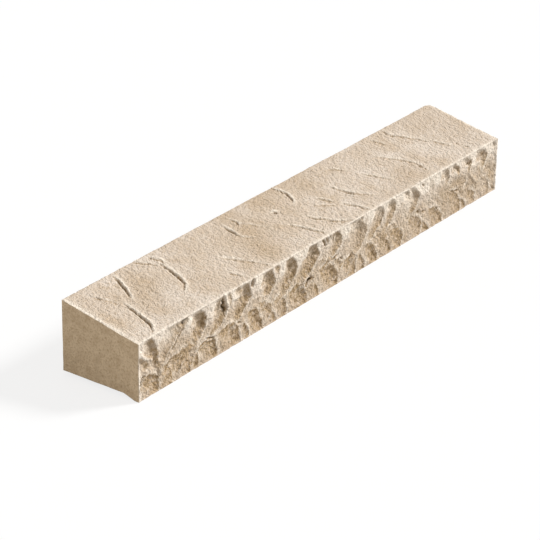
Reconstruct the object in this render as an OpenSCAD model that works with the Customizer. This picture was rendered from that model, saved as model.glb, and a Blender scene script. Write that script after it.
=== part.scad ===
// Wainscot sill: one cast-stone length that caps a half-height stone wall.
// +X runs along the wall, the chiselled face looks to -Y and the back face to +Y.
// The origin is under the middle of the sill, level with the underside of the drip lip.
// All sizes are in millimetres.

/* [Body] */
// Length of the sill along the wall
sill_length = 508; // [254:1:914]
// Depth from the back face to the chiselled face
sill_depth = 75; // [60:0.5:120]
// Height of the back face above the bed
back_height = 61; // [52:0.5:90]
// Fall of the top from the back to the front, which sheds the rain
wash_fall = 14.8; // [4:0.2:20]

/* [Drip lip] */
// How far the lip hangs below the bed
lip_drop = 3.4; // [1.6:0.1:6]
// Width of the lip's level underside
lip_nose = 4; // [2:0.5:8]
// Width of the slope that runs from the lip up to the bed
lip_slope = 11; // [5:0.5:20]

/* [Arrises] */
// Radius of the cast arrises
arris_radius = 1.2; // [0.4:0.1:1.5]
// Radius of the one upright corner that is worn rounder
worn_radius = 4; // [1.5:0.5:8]

/* [Chiselled face] */
// Plain margin left at each end of the face
end_margin = 3; // [1:0.5:15]
// Depth to which the face is dressed hollow between its top and bottom arrises
face_hollow = 0.8; // [0.4:0.1:2]
// Depth of the chisel bites, as a multiple of the depths in the courses below
bite_strength = 1; // [0.6:0.05:1.4]

/* [Hidden] */
stone = [0.85, 0.78, 0.70];
front_height = back_height - wash_fall;
front_y = -sill_depth / 2;
back_y = sill_depth / 2;
face_top = lip_drop + front_height;
face_length = sill_length - 2 * end_margin;
arc_steps = 4;
past = 2;
$fn = 72;

// The chisel works along the face in two courses, and each repeats as the sill grows.
// One row is one bite: the length of face that it takes, the radius of its wall,
// its depth, and how far its middle lies in from the edge of the face.
UPPER_COURSE = [
    [22, 16, 3.0, 15], [25, 14, 2.4, 12], [33, 18, 4.0, 13], [28, 16, 3.2, 12],
    [30, 16, 3.4, 12], [30, 16, 3.4, 12], [8, 6, 1.6, 4], [23, 16, 3.4, 14],
    [30, 17, 3.8, 13], [33, 17, 2.8, 12], [37, 20, 4.2, 15], [24, 13, 2.4, 9],
    [21, 13, 2.6, 10], [32, 16, 2.8, 11], [26, 14, 1.6, 10], [26, 14, 2.6, 11],
    [15, 10, 2.0, 8], [21, 13, 2.4, 10], [28, 16, 2.8, 11]
];
LOWER_COURSE = [
    [22, 14, 2.8, 6], [41, 21, 2.8, 11], [31, 17, 2.4, 6], [32, 18, 2.8, 8],
    [29, 17, 2.8, 8], [32, 17, 2.4, 7], [28, 16, 2.8, 7], [44, 22, 3.0, 10],
    [28, 16, 2.4, 6], [30, 17, 2.8, 7], [34, 18, 2.8, 8], [32, 17, 2.2, 7],
    [24, 14, 2.2, 5], [37, 19, 2.2, 8], [36, 19, 2.4, 8]
];
// Where a bite is deepest, as a share of its length back from its right-hand wall.
UPPER_STRIKE = 0.27;
LOWER_STRIKE = 0.42;
// How far a bite runs out past its own length, onto the bite before it.
run_over = 1;
// How far a bite's wall spreads for each millimetre of its depth.
wall_slope = 0.6;

function unit(v) = v / norm(v);

// The radius of the ball whose cap is this wide from its middle and this deep.
function cap_radius(reach, depth) = (reach * reach + depth * depth) / (2 * depth);

// The round that replaces corner b of the outline a-b-c.
function corner_arc(a, b, c, radius) =
    let (
        u = unit(a - b),
        v = unit(c - b),
        half = acos(u * v) / 2,
        centre = b + unit(u + v) * radius / sin(half),
        start = b + u * radius / tan(half) - centre,
        finish = b + v * radius / tan(half) - centre,
        from = atan2(start.y, start.x),
        turn = (atan2(finish.y, finish.x) - from + 540) % 360 - 180
    )
    [for (i = [0 : arc_steps]) let (angle = from + turn * i / arc_steps)
        centre + radius * [cos(angle), sin(angle)]];

// An outline of [x, y, radius] corners with each corner rounded.
function rounded(corners) =
    let (n = len(corners), flat = [for (p = corners) [p.x, p.y]])
    [for (i = [0 : n - 1])
        each corner_arc(flat[(i + n - 1) % n], flat[i], flat[(i + 1) % n], corners[i].z)];

// The cross-section of the sill, as [y, z] points.
section = rounded([
    [back_y, lip_drop, arris_radius],
    [back_y, lip_drop + back_height, arris_radius],
    [front_y, face_top, arris_radius],
    [front_y, 0, arris_radius],
    [front_y + lip_nose, 0, arris_radius],
    [front_y + lip_nose + lip_slope, lip_drop, arris_radius]
]);

// The outline of the sill from above, as [x, y] points.
plan = rounded([
    [-sill_length / 2, front_y, arris_radius],
    [sill_length / 2, front_y, arris_radius],
    [sill_length / 2, back_y, worn_radius],
    [-sill_length / 2, back_y, arris_radius]
]);

// Where bite i of a course starts, measured from the start of the course.
function start_of(course, i) =
    i == 0 ? 0 : start_of(course, i - 1) + course[(i - 1) % len(course)][0];

// How many bites of a course fit in this length of face.
function bites_in(course, length, i = 0) =
    start_of(course, i + 1) > length ? i : bites_in(course, length, i + 1);

module cast_block() {
    intersection() {
        rotate([90, 0, 90])
            linear_extrude(sill_length, center = true)
                polygon(section);
        translate([0, 0, -past])
            linear_extrude(lip_drop + back_height + 2 * past)
                polygon(plan);
    }
}

// The long shallow hollow that the face is dressed to before it is bitten.
module dressing() {
    half_height = face_top / 2 - arris_radius;
    radius = cap_radius(half_height, face_hollow);
    translate([0, front_y + face_hollow - radius, face_top / 2])
        rotate([0, 90, 0])
            cylinder(face_length, radius, radius, center = true);
}

// One bite of the chisel, with its right-hand wall at x. Its floor is a bowl that is
// deepest near that wall and runs out to nothing at the bite before it. Its wall is
// a steep round cone that stops the bowl where it is still deep.
module bite(x, z, run, reach, depth, strike) {
    bowl_radius = cap_radius(run * (1 - strike) + run_over, depth);
    intersection() {
        translate([x - run * strike, front_y + depth - bowl_radius, z])
            sphere(bowl_radius);
        translate([x - reach, front_y + 2 * depth, z])
            rotate([90, 0, 0])
                cylinder(3 * depth, reach - 2 * depth * wall_slope, reach + depth * wall_slope);
    }
}

// A course of bites, side by side from the left end of the face to the right.
module course(bites, edge_z, inward, strike) {
    for (i = [0 : bites_in(bites, face_length) - 1]) {
        cut = bites[i % len(bites)];
        bite(
            start_of(bites, i + 1) - face_length / 2,
            edge_z + inward * cut[3],
            cut[0],
            cut[1],
            cut[2] * bite_strength,
            strike
        );
    }
}

module sill() {
    color(stone)
    difference() {
        cast_block();
        dressing();
        course(UPPER_COURSE, face_top, -1, UPPER_STRIKE);
        course(LOWER_COURSE, 0, 1, LOWER_STRIKE);
    }
}

sill();
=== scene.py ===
"""A wainscot sill of cast stone: its worked faces, its finish, and a plain studio round it.

The sill caps a half-height stone wall. +X runs along the wall, the chiselled face looks to -Y,
the back to +Y, and the underside of the drip lip is at height 0. Relief is worked out in
millimetres, measured from the sill's left end, its front face and the underside of its lip.
"""

from __future__ import annotations

import logging
import math
from collections.abc import Sequence
from dataclasses import dataclass
from enum import Enum
from itertools import product
from typing import NamedTuple

import bpy
import numpy as np
from mathutils import Euler, Matrix, Vector

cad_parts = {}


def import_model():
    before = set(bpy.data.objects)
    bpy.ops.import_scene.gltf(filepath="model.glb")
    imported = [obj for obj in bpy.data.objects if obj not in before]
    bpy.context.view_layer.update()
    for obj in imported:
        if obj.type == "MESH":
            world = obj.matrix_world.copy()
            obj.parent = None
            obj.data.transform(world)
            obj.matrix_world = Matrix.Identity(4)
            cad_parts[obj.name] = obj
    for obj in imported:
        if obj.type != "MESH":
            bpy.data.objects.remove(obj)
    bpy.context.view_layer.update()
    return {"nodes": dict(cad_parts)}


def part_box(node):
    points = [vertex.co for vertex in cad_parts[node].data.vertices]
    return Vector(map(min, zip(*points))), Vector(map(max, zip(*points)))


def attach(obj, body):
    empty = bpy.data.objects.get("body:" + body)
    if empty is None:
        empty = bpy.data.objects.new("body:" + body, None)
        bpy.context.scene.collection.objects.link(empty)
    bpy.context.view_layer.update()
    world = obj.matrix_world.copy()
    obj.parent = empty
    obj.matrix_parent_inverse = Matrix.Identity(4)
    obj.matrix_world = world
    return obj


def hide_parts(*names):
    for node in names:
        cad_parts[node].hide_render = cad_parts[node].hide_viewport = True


MM = 0.001
TINY = 1e-6
LOG = logging.getLogger("wainscot_sill")

Field = np.ndarray
Line = tuple[tuple[float, float], ...]
Sizes = Sequence[tuple[float, float]]
Triples = Sequence[tuple[float, float, float]]
Tree = bpy.types.NodeTree
Source = bpy.types.Node | bpy.types.NodeSocket


def linear(colour: str) -> tuple[float, float, float, float]:
    """Turns an sRGB hex colour into the linear one that a shader takes.

    Args:
        colour: six hex digits after a hash sign.

    Returns:
        Linear red, green and blue, and an alpha of 1.
    """
    parts = [int(colour[i : i + 2], 16) / 255 for i in (1, 3, 5)]
    red, green, blue = (p / 12.92 if p <= 0.04045 else ((p + 0.055) / 1.055) ** 2.4 for p in parts)
    return red, green, blue, 1.0


def smooth_step(value: Field, low: float, high: float) -> Field:
    """Returns a smooth rise from 0 where the value is low to 1 where it is high."""
    share = np.clip((value - low) / (high - low), 0, 1)
    return share * share * (3 - 2 * share)


def bump(away: Field, reach: float) -> Field:
    """Returns a round bump: 1 where away is 0, and near 0 past twice the reach."""
    return np.exp(-((away / reach) ** 2))


class Pattern(NamedTuple):
    """Noise of a few sizes about a mean, held between two limits.

    Attributes:
        sizes: the size in millimetres and the height of each layer of noise.
        mean: what the noise swings about.
        low: the lower limit.
        high: the upper limit.
    """

    sizes: Sizes
    mean: float = 0.0
    low: float = 0.0
    high: float = math.inf


class Grain:
    """Smooth noise in space, the same on each run."""

    TABLE = 256
    SWING = 1.55
    SHIFT = 41.7
    TURN = np.array(Euler((0.7, 0.5, 0.9)).to_matrix())

    def __init__(self, seed: int) -> None:
        """Draws the table of directions.

        Args:
            seed: number that sets the noise.
        """
        draw = np.random.default_rng(seed)
        self._order = draw.permutation(self.TABLE)
        directions = draw.normal(size=(self.TABLE, 3))
        self._directions = directions / np.linalg.norm(directions, axis=1, keepdims=True)

    def at(self, points: Field, cell: float) -> Field:
        """Reads the noise.

        Args:
            points: places in millimetres, with x, y and z in the last axis.
            cell: size of one lump in millimetres.

        Returns:
            The noise at each place, from about -1 to 1.
        """
        scaled = points @ self.TURN / cell + self.SHIFT
        base = np.floor(scaled).astype(int)
        within = scaled - base
        fade = within**3 * (within * (within * 6 - 15) + 10)
        total = np.zeros(points.shape[:-1])
        for corner in product((0, 1), repeat=3):
            index = (base + corner) % self.TABLE
            mixed = index[..., 0]
            for axis in (1, 2):
                mixed = (self._order[mixed] + index[..., axis]) % self.TABLE
            weight = np.prod(np.where(corner, fade, 1 - fade), axis=-1)
            total += weight * np.sum(self._directions[self._order[mixed]] * (within - corner), axis=-1)
        return total * self.SWING

    def layers(self, points: Field, sizes: Sizes) -> Field:
        """Returns the sum of several sizes of noise at each place."""
        return sum(height * self.at(points, cell) for cell, height in sizes)

    def pattern(self, points: Field, pattern: Pattern) -> Field:
        """Returns the pattern's value at each place."""
        return np.clip(pattern.mean + self.layers(points, pattern.sizes), pattern.low, pattern.high)

    def flakes(self, x: Field, z: Field, cell: float) -> Field:
        """Reads a pattern of small shallow bowls with sharp crests between them.

        Args:
            x: first coordinate of the places, in millimetres.
            z: second coordinate of the places.
            cell: size of one bowl in millimetres.

        Returns:
            1 in the middle of a bowl, and near 0 on the crests.
        """
        column, row = np.floor(x / cell).astype(int), np.floor(z / cell).astype(int)
        nearest = np.full(np.shape(x), np.inf)
        for right, up in product((-1, 0, 1), repeat=2):
            i, j = column + right, row + up
            shift = self._directions[self._order[(self._order[i % self.TABLE] + j) % self.TABLE]]
            away_x = x / cell - (i + 0.5 + 0.5 * shift[..., 0])
            away_z = z / cell - (j + 0.5 + 0.5 * shift[..., 1])
            nearest = np.minimum(nearest, away_x**2 + away_z**2)
        return 1 - nearest


def along_line(points: Line, x: Field, y: Field) -> tuple[Field, Field, Field]:
    """Measures places against a line of points.

    Args:
        points: the line.
        x: first coordinate of the places.
        y: second coordinate of the places.

    Returns:
        The distance to the line, how far along it the nearest point is, from 0 to 1, and
        whether the place lies on the line's left.
    """
    distance = np.full(np.shape(x), np.inf)
    along = np.zeros(np.shape(x))
    on_left = np.zeros(np.shape(x), bool)
    count = len(points) - 1
    for i in range(count):
        (ax, ay), (bx, by) = points[i], points[i + 1]
        dx, dy = bx - ax, by - ay
        share = np.clip(((x - ax) * dx + (y - ay) * dy) / (dx * dx + dy * dy), 0, 1)
        away = np.hypot(x - ax - share * dx, y - ay - share * dy)
        nearer = away < distance
        distance = np.where(nearer, away, distance)
        along = np.where(nearer, (i + share) / count, along)
        on_left = np.where(nearer, dx * (y - ay) - dy * (x - ax) > 0, on_left)
    return distance, along, on_left


class Relief(NamedTuple):
    """What is left of a side at some places: its depth, its brown stain with painted shade, and its painted
    highlight, 0 to 1.
    """

    depth: Field
    stain_and_shade: Field
    crest_and_highlight: Field


@dataclass(frozen=True)
class Course:
    """A row of bites that run side by side along the face.

    Attributes:
        bites: the bites.
        depth: their depth beside that of plain bites.
        reach: how far the brown stain and painted shade reach, beside the bite itself.
        falloff: how fast the stain and painted shade fade, where 1 is evenly.
        brown: how brown it is at its most.
        rim: how wide the painted highlight on the rim outside a bite's wall is.
    """

    bites: tuple[Bite, ...]
    depth: float
    reach: float
    falloff: float
    brown: float
    rim: float


@dataclass(frozen=True)
class Bite:
    """One bite of the chisel: it slopes in from the left and ends in a steep wall on its right.

    The slopes are the same in every bite, so that a small one is shallow.

    Attributes:
        edge: the line of the wall's crest, from its upper end down.
        reach: how far the bite reaches to the left of that line.
        strength: its depth beside that of a plain bite.
    """

    edge: Line
    reach: float
    strength: float = 1.0

    # Powers that shape the bite along its edge and across its slope.
    EARLY = 0.8
    FULLNESS = 0.5
    FADE = 1.2
    # Shares of its reach that the wall and the greatest depth take, and of the fade of its stain and
    # painted shade.
    WALL_SHARE = 0.3
    DEPTH_SHARE = 0.12
    STAIN_SHARE = 0.9
    # A bite of this reach in millimetres has a full crest.
    CREST_SIZE = 5.0

    def relief_at(self, x: Field, z: Field, course: Course) -> Relief:
        """Works out what this bite leaves at each place.

        Args:
            x: places along the face, from the left end.
            z: heights of the places.
            course: the course that the bite belongs to.

        Returns:
            Depth below the face, brown stain with painted shade, and nearness to the crest, which also
            grades its painted highlight, all 0 outside the bite and its crest.
        """
        distance, along, right = along_line(self.edge, x, z)
        fullness = np.sin(math.pi * np.clip(along, TINY, 1 - TINY) ** self.EARLY) ** self.FULLNESS
        size = self.reach * fullness
        out = distance / size
        rise = 1 - np.clip(1 - out / self.WALL_SHARE, 0, 1) ** 2
        fade = 1 - np.clip((out - self.WALL_SHARE) / (1 - self.WALL_SHARE), 0, 1) ** self.FADE
        # Brown stain and painted shade, strongest at the wall, where the shade falls.
        stain_and_shade = np.clip((course.reach - out) / (self.STAIN_SHARE * course.reach), 0, 1) ** course.falloff
        # Nearness to the crest on its lit side: it raises the crest and grades its painted highlight.
        crest_and_highlight = np.exp(-distance / course.rim) * np.clip(size / self.CREST_SIZE, 0, 1)
        depth = self.strength * self.DEPTH_SHARE * size * rise * fade
        return Relief(
            np.where(right, 0, course.depth * depth),
            np.where(right, 0, course.brown * stain_and_shade * min(self.strength, 1)),
            np.where(right, crest_and_highlight, 0),
        )


@dataclass(frozen=True)
class Slit:
    """A narrow crack along a line of points on one side.

    Attributes:
        points: the line that it follows.
        width: half of its width at the middle of its length.
        depth: its greatest depth.
        ledge: how far the stone on the right of the line lies below that on its left.
    """

    points: Line
    width: float
    depth: float
    ledge: float = 0.0

    LEDGE_REACH = 11.0
    LIP_REACH = 2.6
    LIP_SHARE = 0.3
    # Shares of its length cut off its taper and of its width left at its ends, and two powers.
    CUT_OFF = 0.04
    END_WIDTH = 0.35
    GROOVE = 1.2
    LEDGE = 1.5

    def depth_at(self, x: Field, y: Field) -> Field:
        """Works out how deep the crack and its ledge are.

        Args:
            x: first coordinate of the places.
            y: second coordinate of the places.

        Returns:
            Depth below the side, and less than 0 where the crack has a raised lip.
        """
        distance, along, on_left = along_line(self.points, x, y)
        taper = np.sqrt(np.sin(math.pi * (self.CUT_OFF + (1 - 2 * self.CUT_OFF) * along)))
        width = self.width * (self.END_WIDTH + (1 - self.END_WIDTH) * taper)
        groove = np.clip(1 - distance / width, 0, 1)
        ledge = np.where(on_left, 0, np.exp(-((distance / self.LEDGE_REACH) ** self.LEDGE)))
        lip = np.where(on_left, bump(distance, self.LIP_REACH) * (1 - groove), 0)
        sunk = self.depth * (groove**self.GROOVE - self.LIP_SHARE * lip)
        return taper * sunk + self.ledge * taper**2 * ledge


@dataclass(frozen=True)
class Crest:
    """A smooth ridge left standing between bites.

    Attributes:
        points: the line that it follows.
        width: half of its width.
        height: how far it stands above the hollows beside it.
    """

    points: Line
    width: float
    height: float

    def height_at(self, x: Field, z: Field) -> Field:
        """Returns how far the crest stands above the hollows beside it."""
        return self.height * bump(along_line(self.points, x, z)[0], self.width)


class Spots(NamedTuple):
    """Places on a worked side, in millimetres.

    Attributes:
        points: the places in space.
        x: how far each is from the left end, once the stone has turned the chisel aside.
        across: how far each is up or back, turned aside as well.
    """

    points: Field
    x: Field
    across: Field


@dataclass(frozen=True)
class ChiselledFace:
    """The front face: two courses of chisel bites, cracks between them, and a rough grain."""

    length: float
    top: float
    grain: Grain

    # How far apart the copies of the noise lie, so that no two patterns look alike.
    APART = np.array([0.0, 60.0, 0.0])
    bend: Sizes = ((13, 1.3), (6, 1.2), (3.2, 0.6))
    # Depths in millimetres: the dressing all over, its hollow middle, and the crests left in it.
    hollow: float = 0.4
    middle_depth: Pattern = Pattern(((18, 0.3),), 0.5)
    middle_reach: float = 10.0
    crest_height: float = 0.35
    crest_floor: float = 0.2
    full_depth: float = 3.0
    # What keeps the relief clear of the arris and the lip, and the share of it left at the ends.
    arris_depth: float = 0.2
    arris_slope: float = 0.6
    lip_depth: float = 0.1
    lip_slope: float = 1.5
    end_margin: float = 3.0
    end_share: float = 0.15
    # Grain: the sizes and height of each kind of flake and leaning streak, and other noise.
    flakes: Sizes = ((9, 0.4), (5, 0.45))
    streaks: Triples = ((16, 5, 0.3), (9, 2.6, 0.3))
    streak_cell: float = 1.4
    streak_start: float = 3.0
    lean: float = 0.5
    rough: Sizes = ((9, 0.15), (4.5, 0.2), (2.2, 0.45))
    even_rough: float = 0.7
    more_rough: float = 0.6
    pocks: Pattern = Pattern(((3.4, 1.2),), -0.12)
    chips: Pattern = Pattern(((8, 0.9), (4, 0.5)), -0.1)
    notches: Pattern = Pattern(((9, 1.3), (4.5, 0.9)), -0.15)
    lumps: Pattern = Pattern(((8, 0.9), (5, 0.5)))
    # The stretch along the face over which it turns lumpy.
    lumpy: tuple[float, float] = (390, 450)
    # Stain with painted shade, and painted light and highlight: their noise, and the heights between which
    # they come.
    stain_and_shade: Pattern = Pattern(((22, 0.4),), 0.4)
    stained: tuple[float, float] = (40, 24)
    clean_arris: float = 2.5
    slit_depth: float = 1.6
    pale: float = 1.1
    paler: tuple[float, float] = (28, 46)
    patchy: Pattern = Pattern(((9, 1),), 0.75, high=1)
    broken_rim: Pattern = Pattern(((5, 1),), 0.8, high=1)
    flecked: Pattern = Pattern(((3.6, 3),), 2.1, 0.4, 2.4)
    highlight_heights: tuple[float, float] = (33, 43)
    # Patches of painted highlight below the arris: the middle and the reach of each patch.
    highlight_patches: Sizes = (
        (61, 5), (97, 6), (120, 4), (151, 5), (186, 5), (209, 5), (273, 7),
        (308, 6), (354, 6), (391, 8), (411, 6), (471, 5), (500, 5),
    )
    UPPER = (
        Bite(((10, 52), (16, 48), (21, 44), (24, 39), (25, 33), (26, 27), (27, 20), (25, 12)), 22, 1.2),
        Bite(((2, 37), (8, 33), (14, 28), (18, 24), (15, 19)), 13, 1.3),
        Bite(((42, 52), (45, 47), (48, 42), (51, 36)), 12, 1.1),
        Bite(((48, 51), (51, 46), (54, 40)), 7, 1.3),
        Bite(((62, 47), (56, 41), (48, 34), (40, 27), (32, 20), (26, 13)), 22, 0.7),
        Bite(((71, 53), (77, 49), (82, 44), (85, 39), (85, 33), (81, 27), (73, 21), (62, 15)), 29, 1.2),
        Bite(((102, 53), (106, 48), (109, 42), (112, 36), (109, 30), (101, 23), (88, 17)), 26, 1.1),
        Bite(((112, 52), (115, 48), (117, 42), (114, 36)), 7),
        Bite(((124, 52), (127, 49), (131, 44), (132, 38)), 10, 1.4),
        Bite(((132, 51), (138, 46), (142, 41), (142, 35), (136, 29), (127, 22), (116, 16)), 26, 1.1),
        Bite(((163, 53), (168, 48), (171, 43), (174, 38), (173, 31), (166, 24), (156, 17)), 27, 1.1),
        Bite(((173, 52), (178, 49), (180, 45), (180, 39)), 9, 1.1),
        Bite(
            ((192, 53), (198, 48), (203, 42), (205, 36), (203, 30), (196, 24), (187, 18), (178, 14)),
            28, 1.1,
        ),
        Bite(
            ((224, 53), (230, 48), (234, 42), (235, 36), (230, 30), (221, 23), (211, 17), (203, 13)),
            29, 1.2,
        ),
        Bite(((257, 53), (262, 48), (266, 43), (267, 37), (262, 31), (253, 25), (244, 20)), 22),
        Bite(
            ((282, 53), (290, 49), (298, 44), (303, 39), (304, 33), (300, 26), (292, 19), (283, 12),
             (276, 4)),
            36, 0.7,
        ),
        Bite(((317, 53), (323, 49), (328, 44), (328, 38), (322, 31), (312, 24), (303, 19)), 20, 0.9),
        Bite(((336, 53), (342, 49), (347, 43), (347, 36), (340, 29), (330, 22)), 21, 0.9),
        Bite(((360, 52), (365, 48), (369, 43), (371, 37)), 10, 1.4),
        Bite(((368, 49), (375, 47), (381, 43), (382, 38), (380, 31), (372, 24), (362, 18)), 20, 0.9),
        Bite(((399, 47), (404, 44), (408, 39), (407, 32), (401, 25)), 17, 0.4),
        Bite(((420, 53), (425, 49), (430, 44), (431, 38), (427, 31)), 15, 1.1),
        Bite(((434, 53), (440, 48), (445, 44), (448, 40), (444, 33)), 13),
        Bite(((453, 53), (459, 48), (464, 43), (467, 39), (462, 32)), 14, 1.1),
        Bite(((476, 52), (482, 48), (489, 44), (494, 40), (490, 33), (482, 26)), 22, 0.8),
        Bite(((498, 51), (503, 47), (505, 40)), 8),
        Bite(((232, 31), (244, 29), (258, 26), (262, 21)), 14, 0.6),
        Bite(((144, 31), (158, 27), (168, 22), (170, 17)), 14, 0.5),
        Bite(((336, 26), (345, 25), (352, 20), (352, 16)), 12, 0.7),
        Bite(((404, 30), (414, 26), (420, 20), (416, 14)), 14, 0.5),
        Bite(((476, 33), (482, 30), (484, 24), (479, 18)), 12, 0.5),
        Bite(((452, 33), (457, 31), (459, 25), (453, 19)), 12, 0.5),
    )
    LOWER = (
        Bite(((1, 10), (5, 16), (12, 19), (20, 17), (25, 12), (26, 6), (24, 0), (20, -8)), 22, 1.2),
        Bite(((28, 14), (33, 19), (42, 22), (54, 24), (66, 22), (73, 18), (69, 11), (66, 4), (62, -8)), 27),
        Bite(((37, 18), (41, 13), (43, 5), (42, -8)), 9, 1.2),
        Bite(((71, 14), (78, 18), (86, 20), (93, 18), (97, 13), (98, 7), (98, 0), (95, -8)), 22),
        Bite(((71, 15), (75, 10), (75, 2), (72, -6)), 7, 1.3),
        Bite(((101, 18), (110, 21), (119, 20), (125, 15), (126, 9), (129, 2), (129, -8)), 23),
        Bite(((132, 16), (137, 11), (140, 4), (139, -8)), 9, 1.3),
        Bite(((138, 22), (147, 21), (152, 17), (156, 11), (158, 4), (155, -8)), 21, 1.1),
        Bite(((153, 24), (162, 22), (168, 18), (170, 13), (163, 6)), 16, 0.9),
        Bite(((168, 13), (173, 8), (175, 2), (173, -8)), 8, 1.3),
        Bite(((172, 19), (180, 20), (187, 17), (190, 11), (190, 4), (187, -8)), 18, 0.9),
        Bite(((193, 19), (202, 20), (210, 18), (215, 12), (218, 6), (217, -8)), 23),
        Bite(((227, 15), (232, 10), (236, 4), (238, -5)), 8),
        Bite(((236, 23), (246, 23), (255, 20), (260, 14), (262, 8), (262, 1), (258, -8)), 26),
        Bite(((258, 25), (265, 21), (269, 15), (264, 8)), 12, 0.9),
        Bite(((267, 18), (277, 19), (285, 17), (289, 11), (289, 4), (285, -8)), 20, 0.9),
        Bite(((293, 15), (299, 10), (301, 3), (299, -8)), 9, 1.3),
        Bite(((302, 21), (310, 20), (316, 15), (319, 8), (319, 1), (315, -8)), 20),
        Bite(((332, 16), (338, 10), (340, 3), (339, -8)), 9, 1.2),
        Bite(((339, 21), (349, 19), (356, 14), (357, 8), (355, 1), (350, -8)), 22, 0.9),
        Bite(((367, 23), (378, 20), (386, 16), (388, 10), (385, 4), (380, -8)), 23, 0.8),
        Bite(((387, 13), (394, 8), (399, 1), (400, -7)), 10),
        Bite(((399, 20), (408, 18), (414, 13), (419, 7), (420, 0), (418, -8)), 20, 0.8),
        Bite(((430, 23), (440, 22), (446, 18), (450, 11), (449, 4), (446, -8)), 21, 0.8),
        Bite(((447, 13), (453, 9), (458, 3), (458, -7)), 9, 1.2),
        Bite(((462, 14), (469, 13), (474, 8), (473, -7)), 14, 0.7),
        Bite(((486, 20), (492, 18), (497, 12), (497, 4), (493, -8)), 16, 0.6),
    )
    courses: tuple[Course, ...] = (
        Course(UPPER, depth=1.0, reach=1.1, falloff=1.5, brown=0.8, rim=1.8),
        Course(LOWER, depth=0.65, reach=1.35, falloff=0.5, brown=0.83, rim=2.6),
    )
    crests: tuple[Crest, ...] = (
        Crest(((61, 43), (46, 32), (36, 24), (28, 18)), 3.6, 1.6),
        Crest(((3, 39), (10, 33), (18, 28)), 1.7, 2.0),
        Crest(((384, 38), (378, 44)), 2.0, 1.6),
        Crest(((443, 37), (452, 33)), 2.4, 1.4),
        Crest(((462, 31), (470, 24), (476, 19)), 2.2, 1.4),
    )
    slits: tuple[Slit, ...] = (
        Slit(((62, 49.5), (58, 47), (55, 43)), 2.8, 4.4),
        Slit(((46, 50), (48, 47), (50, 43)), 1.5, 2.8),
        Slit(((51, 50), (53, 47), (54, 43)), 1.4, 2.4),
        Slit(((29, 16), (36, 24), (44, 32), (52, 39), (60, 46)), 1.3, 1.8, 0.7),
        Slit(((10, 18), (6, 17), (2, 12)), 1.6, 3.0),
        Slit(((97, 16), (92, 17), (86, 18.5), (80, 16), (73, 15)), 1.4, 2.2),
        Slit(((105, 50), (107, 46), (109, 41), (108, 38), (110, 36), (108, 30)), 2.2, 4.0),
        Slit(((144, 48.5), (144, 43)), 3.2, 5.0),
        Slit(((226, 19), (221, 17.5), (217, 16)), 2.8, 5.0),
        Slit(((214, 17), (210, 17)), 1.5, 2.6),
        Slit(((262, 25), (257, 25), (253, 23)), 1.6, 2.6),
        Slit(((249, 24), (240, 22)), 1.4, 2.0),
        Slit(((270, 18), (265, 22)), 1.3, 2.4),
        Slit(((237, 50), (240, 47), (243, 41)), 1.7, 2.8),
        Slit(((242, 50), (245, 46), (247, 41)), 1.7, 2.8),
        Slit(((247, 50), (250, 46), (252, 40)), 1.8, 3.0),
        Slit(((252, 51), (255, 46), (257, 39)), 1.8, 3.0),
        Slit(((285, 18), (277, 15)), 1.7, 2.4),
        Slit(((129, 17), (124, 18)), 1.6, 2.8),
        Slit(((297, 45), (293, 49)), 1.9, 4.0),
        Slit(((384, 21), (379, 23)), 1.8, 2.8),
        Slit(((394, 18), (389, 20)), 1.6, 2.4),
        Slit(((413, 14), (409, 17)), 1.6, 2.4),
        Slit(((389, 44), (387, 47)), 1.6, 2.4),
        Slit(((447, 18.5), (441, 20)), 1.8, 3.0),
        Slit(((438, 20), (432, 23)), 1.4, 2.0),
        Slit(((464, 38), (459, 40)), 1.4, 2.2),
        Slit(((505, 43), (501, 48)), 1.6, 3.0),
        Slit(((506, 1), (499, 6)), 1.2, 2.0),
    )

    def _bitten(self, spots: Spots) -> Relief:
        """Cuts both courses of bites.

        Args:
            spots: places on the face.

        Returns:
            Depth below the crests, with its stain and crests.
        """
        z = spots.points[..., 2]
        depth = self.grain.pattern(spots.points, self.middle_depth)
        depth = depth * bump(z - self.top / 2, self.middle_reach)
        stain_and_shade = self.grain.pattern(spots.points + 2 * self.APART, self.stain_and_shade)
        stain_and_shade = stain_and_shade * smooth_step(z, *self.stained)
        crest_and_highlight = np.zeros_like(z)
        for course in self.courses:
            for bite in course.bites:
                relief = bite.relief_at(spots.x, spots.across, course)
                depth = np.maximum(depth, relief.depth)
                stain_and_shade = np.maximum(stain_and_shade, relief.stain_and_shade)
                crest_and_highlight = np.maximum(crest_and_highlight, relief.crest_and_highlight)
        return Relief(depth, stain_and_shade, crest_and_highlight)

    def _roughened(self, spots: Spots, bitten: Relief, cracks: Field) -> Field:
        """Adds the ridges, cracks, flakes, streaks and pocks that the bites leave behind.

        Args:
            spots: places on the face.
            bitten: what the bites have left there.
            cracks: how deep the cracks are there.

        Returns:
            Depth below the plane of the face.
        """
        points = spots.points
        x, z = points[..., 0], points[..., 2]
        worked = np.clip(bitten.depth / self.full_depth, 0, 1)
        depth = bitten.depth + self.hollow - self.crest_height * bitten.crest_and_highlight**4
        for cell, flake_depth in self.flakes:
            depth = depth + flake_depth * np.clip(self.grain.flakes(spots.x, spots.across, cell), 0, None)
        for ridge in self.crests:
            lifted = np.maximum(depth - ridge.height_at(spots.x, spots.across), self.crest_floor)
            depth = np.minimum(depth, lifted)
        lumps = self.grain.pattern(points + 9 * self.APART, self.lumps)
        depth = depth + cracks + lumps * smooth_step(x, *self.lumpy)
        for long, wide, height in self.streaks:
            apart = np.full_like(x, self.streak_start + long)
            drawn = ((x + self.lean * z) / long, apart, (z - self.lean * x) / wide)
            depth = depth + height * self.grain.at(np.stack(drawn, axis=-1), self.streak_cell)
        rough = self.grain.layers(points + 4 * self.APART, self.rough)
        rough = rough * (self.even_rough + self.more_rough * worked)
        return depth + rough + self.grain.pattern(points + 5 * self.APART, self.pocks) * worked

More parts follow.
